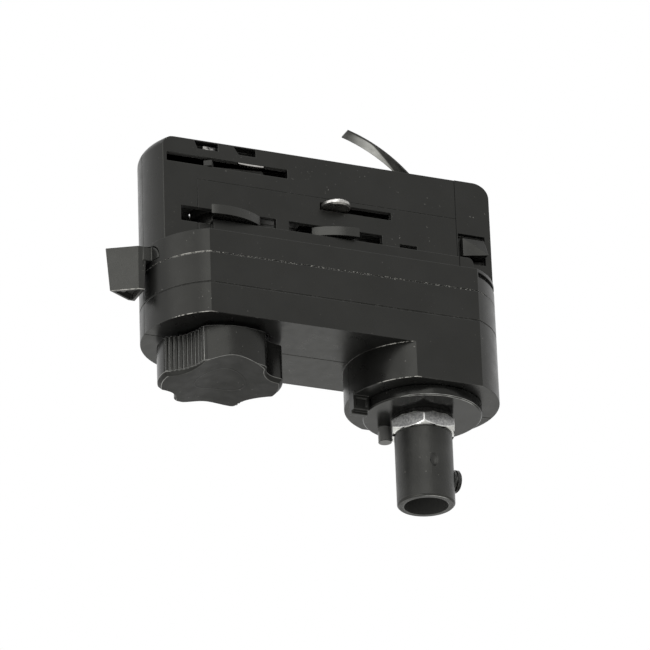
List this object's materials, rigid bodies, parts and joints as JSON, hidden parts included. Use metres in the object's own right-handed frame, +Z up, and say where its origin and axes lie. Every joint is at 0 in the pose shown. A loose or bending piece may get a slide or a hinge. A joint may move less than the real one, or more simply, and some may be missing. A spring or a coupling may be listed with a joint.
{
  "type": "track light adapter",
  "caption": "Black track adapter for a spotlight: slotted insert with contacts and catches, lock lever, circuit selector knob and a tubular stem with a bright lock nut.",
  "frame": {"origin": "where the stem's axis meets the seat plane, the face that lies against the track", "axes": "+X along the adapter from the lock lever's end to the stem's end, -Y the front with the key plinth, +Z up into the track"},
  "size_m": [0.1073, 0.036, 0.1042],
  "materials": {
    "housing_plastic": "fine spark-eroded black",
    "knob_plastic": "satin moulded black",
    "mechanism_plastic": "moulded black nylon",
    "disc_plastic": "semi-gloss black",
    "rotor_plastic": "dark grey moulded",
    "stem_paint": "fine textured black powder coat",
    "bright_zinc": "bright zinc plate",
    "screw_steel": "zinc plated",
    "dark_steel": "blackened",
    "contact_silver": "silver-plated brass",
    "strip_steel": "bright nickel-plated spring strip",
    "spring_steel": "spring wire"
  },
  "bodies": {
    "housing": {"upper_front": "housing_plastic", "upper_rear": "housing_plastic", "side_cover": "housing_plastic", "end_cap": "housing_plastic", "lower_front": "housing_plastic", "lower_rear": "housing_plastic", "phase_leaf": "contact_silver", "catch_spring": "spring_steel", "terminal_block": "rotor_plastic", "terminal_screws": "screw_steel", "insert_screws": "screw_steel", "case_screws": "screw_steel"},
    "lock": {"lock_lever": "mechanism_plastic", "lock_cam": "mechanism_plastic", "drive_gear": "mechanism_plastic"},
    "neutral": {"neutral_gear": "mechanism_plastic", "neutral_rotor": "mechanism_plastic", "neutral_contact": "contact_silver"},
    "selector": {"selector_knob": "knob_plastic", "selector_shaft": "rotor_plastic", "contact_drum": "rotor_plastic", "phase_contact_upper": "contact_silver", "phase_contact_lower": "contact_silver"},
    "front_catch": {"catch_front": "mechanism_plastic"},
    "rear_catch": {"catch_rear": "mechanism_plastic"},
    "earth": {"earth_strip": "strip_steel"},
    "stem": {"stem_disc": "disc_plastic", "stem_washer": "dark_steel", "lock_nut": "bright_zinc", "stem_tube": "stem_paint", "clamp_screw": "dark_steel", "hollow_nipple": "screw_steel", "inner_washer": "screw_steel", "inner_nut": "bright_zinc"}
  },
  "joints": [
    {"name": "selector_turn", "type": "hinge", "parent": "housing", "child": "selector", "pos_m": [-0.0564, 0, -0.0236], "axis": [0, 0, 1], "range_deg": [-90, 90]},
    {"name": "lever_turn", "type": "hinge", "parent": "housing", "child": "lock", "pos_m": [-0.0564, 0, -0.003], "axis": [0, 0, 1], "range_deg": [-90, 0]},
    {"name": "neutral_turn", "type": "hinge", "parent": "housing", "child": "neutral", "pos_m": [-0.0265, 0, 0], "axis": [0, 0, 1], "range_deg": [0, 90]},
    {"name": "front_catch_press", "type": "slide", "parent": "housing", "child": "front_catch", "axis": [0, 1, 0], "range_m": [0, 0.002], "stiffness_N_per_m": 800, "deforming": ["catch_spring"]},
    {"name": "rear_catch_press", "type": "slide", "parent": "housing", "child": "rear_catch", "axis": [0, -1, 0], "range_m": [0, 0.002], "stiffness_N_per_m": 800, "deforming": ["catch_spring"]},
    {"name": "earth_flex", "type": "hinge", "parent": "housing", "child": "earth", "pos_m": [0.0014, 0, 0.0285], "axis": [0, 1, 0], "range_deg": [-28, 0], "stiffness_Nm_per_rad": 0.15},
    {"name": "stem_swivel", "type": "hinge", "parent": "housing", "child": "stem", "pos_m": [0, 0, -0.0333], "axis": [0, 0, 1], "range_deg": [-170, 170]}
  ],
  "couplings": [
    {"joint": "neutral_turn", "follows": "lever_turn", "ratio": -1}
  ]
}
